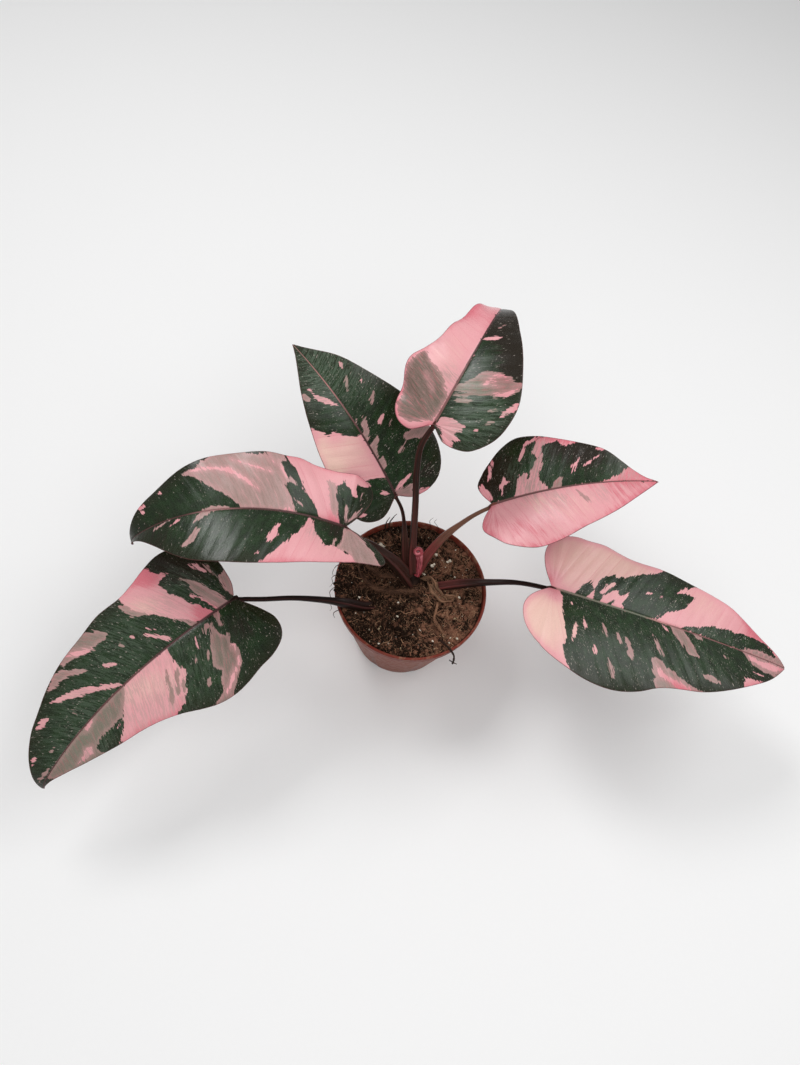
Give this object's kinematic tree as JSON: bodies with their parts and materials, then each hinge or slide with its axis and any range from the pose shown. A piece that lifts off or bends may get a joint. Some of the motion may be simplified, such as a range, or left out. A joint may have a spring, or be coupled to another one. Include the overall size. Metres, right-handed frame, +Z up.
{
  "type": "potted variegated philodendron",
  "caption": "Pink and green variegated philodendron with heart-shaped leaves on long dark petioles, growing from soil in a round tapered nursery pot.",
  "frame": {"origin": "centre of the underside of the pot's flat base", "axes": "+Z up out of the pot; -Y is the front, with the longest leaf towards +X and the drooping leaf towards -X and -Y"},
  "size_m": [0.5282, 0.3908, 0.2365],
  "materials": {
    "pot": "satin moulded plastic, terracotta brown",
    "soil": "damp peat and coir mix with perlite",
    "stem": "dark maroon, slightly glossy",
    "petiole": "dark maroon with red streaks, waxy",
    "leaf": "glossy dark green blade with pink and grey-pink sectors",
    "cataphyll": "fresh red-pink sheath, waxy",
    "dry_sheath": "dry papery tan",
    "root": "rough brown root bark"
  },
  "bodies": {
    "root": {"pot": "pot", "soil": "soil", "stem": "stem", "petiole_1": "petiole", "petiole_2": "petiole", "petiole_3": "petiole", "petiole_4": "petiole", "petiole_5": "petiole", "petiole_6": "petiole", "leaf_1": "leaf", "leaf_2": "leaf", "leaf_3": "leaf", "leaf_4": "leaf", "leaf_5": "leaf", "leaf_6": "leaf", "cataphyll": "cataphyll", "dry_sheath": "dry_sheath", "root_arc": "root", "root_twisted": "root", "root_thin": "root", "root_rim": "root"}
  },
  "joints": []
}
